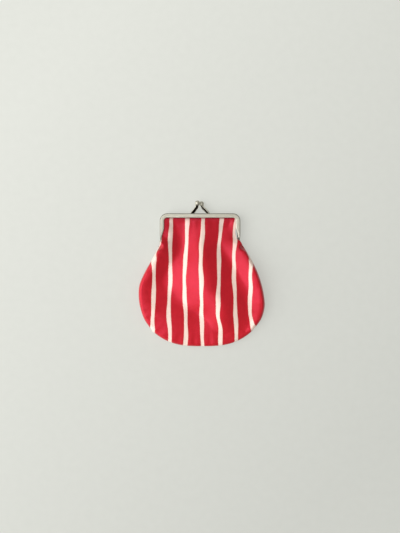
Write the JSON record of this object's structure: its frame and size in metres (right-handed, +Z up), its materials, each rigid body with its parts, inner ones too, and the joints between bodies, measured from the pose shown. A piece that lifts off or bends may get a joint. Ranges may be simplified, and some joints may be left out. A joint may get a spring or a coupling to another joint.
{
  "type": "kiss-lock pouch",
  "caption": "Soft striped cloth pouch lying flat on its back, its mouth gripped by a hinged nickel frame that snaps shut on crossing ball knobs.",
  "frame": {"origin": "on the table under the middle of the whole pouch", "axes": "+X to the right across the frame, +Y from the bottom seam towards the clasp, +Z up off the table, out of the front panel"},
  "size_m": [0.1014, 0.1172, 0.0163],
  "materials": {
    "cloth": "red cotton canvas with cream stripes",
    "nickel": "satin nickel plate, a little rubbed at its edges"
  },
  "bodies": {
    "root": {"front_panel": "cloth", "back_panel": "cloth", "front_frame": "nickel", "back_frame": "nickel", "left_rivet": "nickel", "right_rivet": "nickel"}
  },
  "joints": []
}
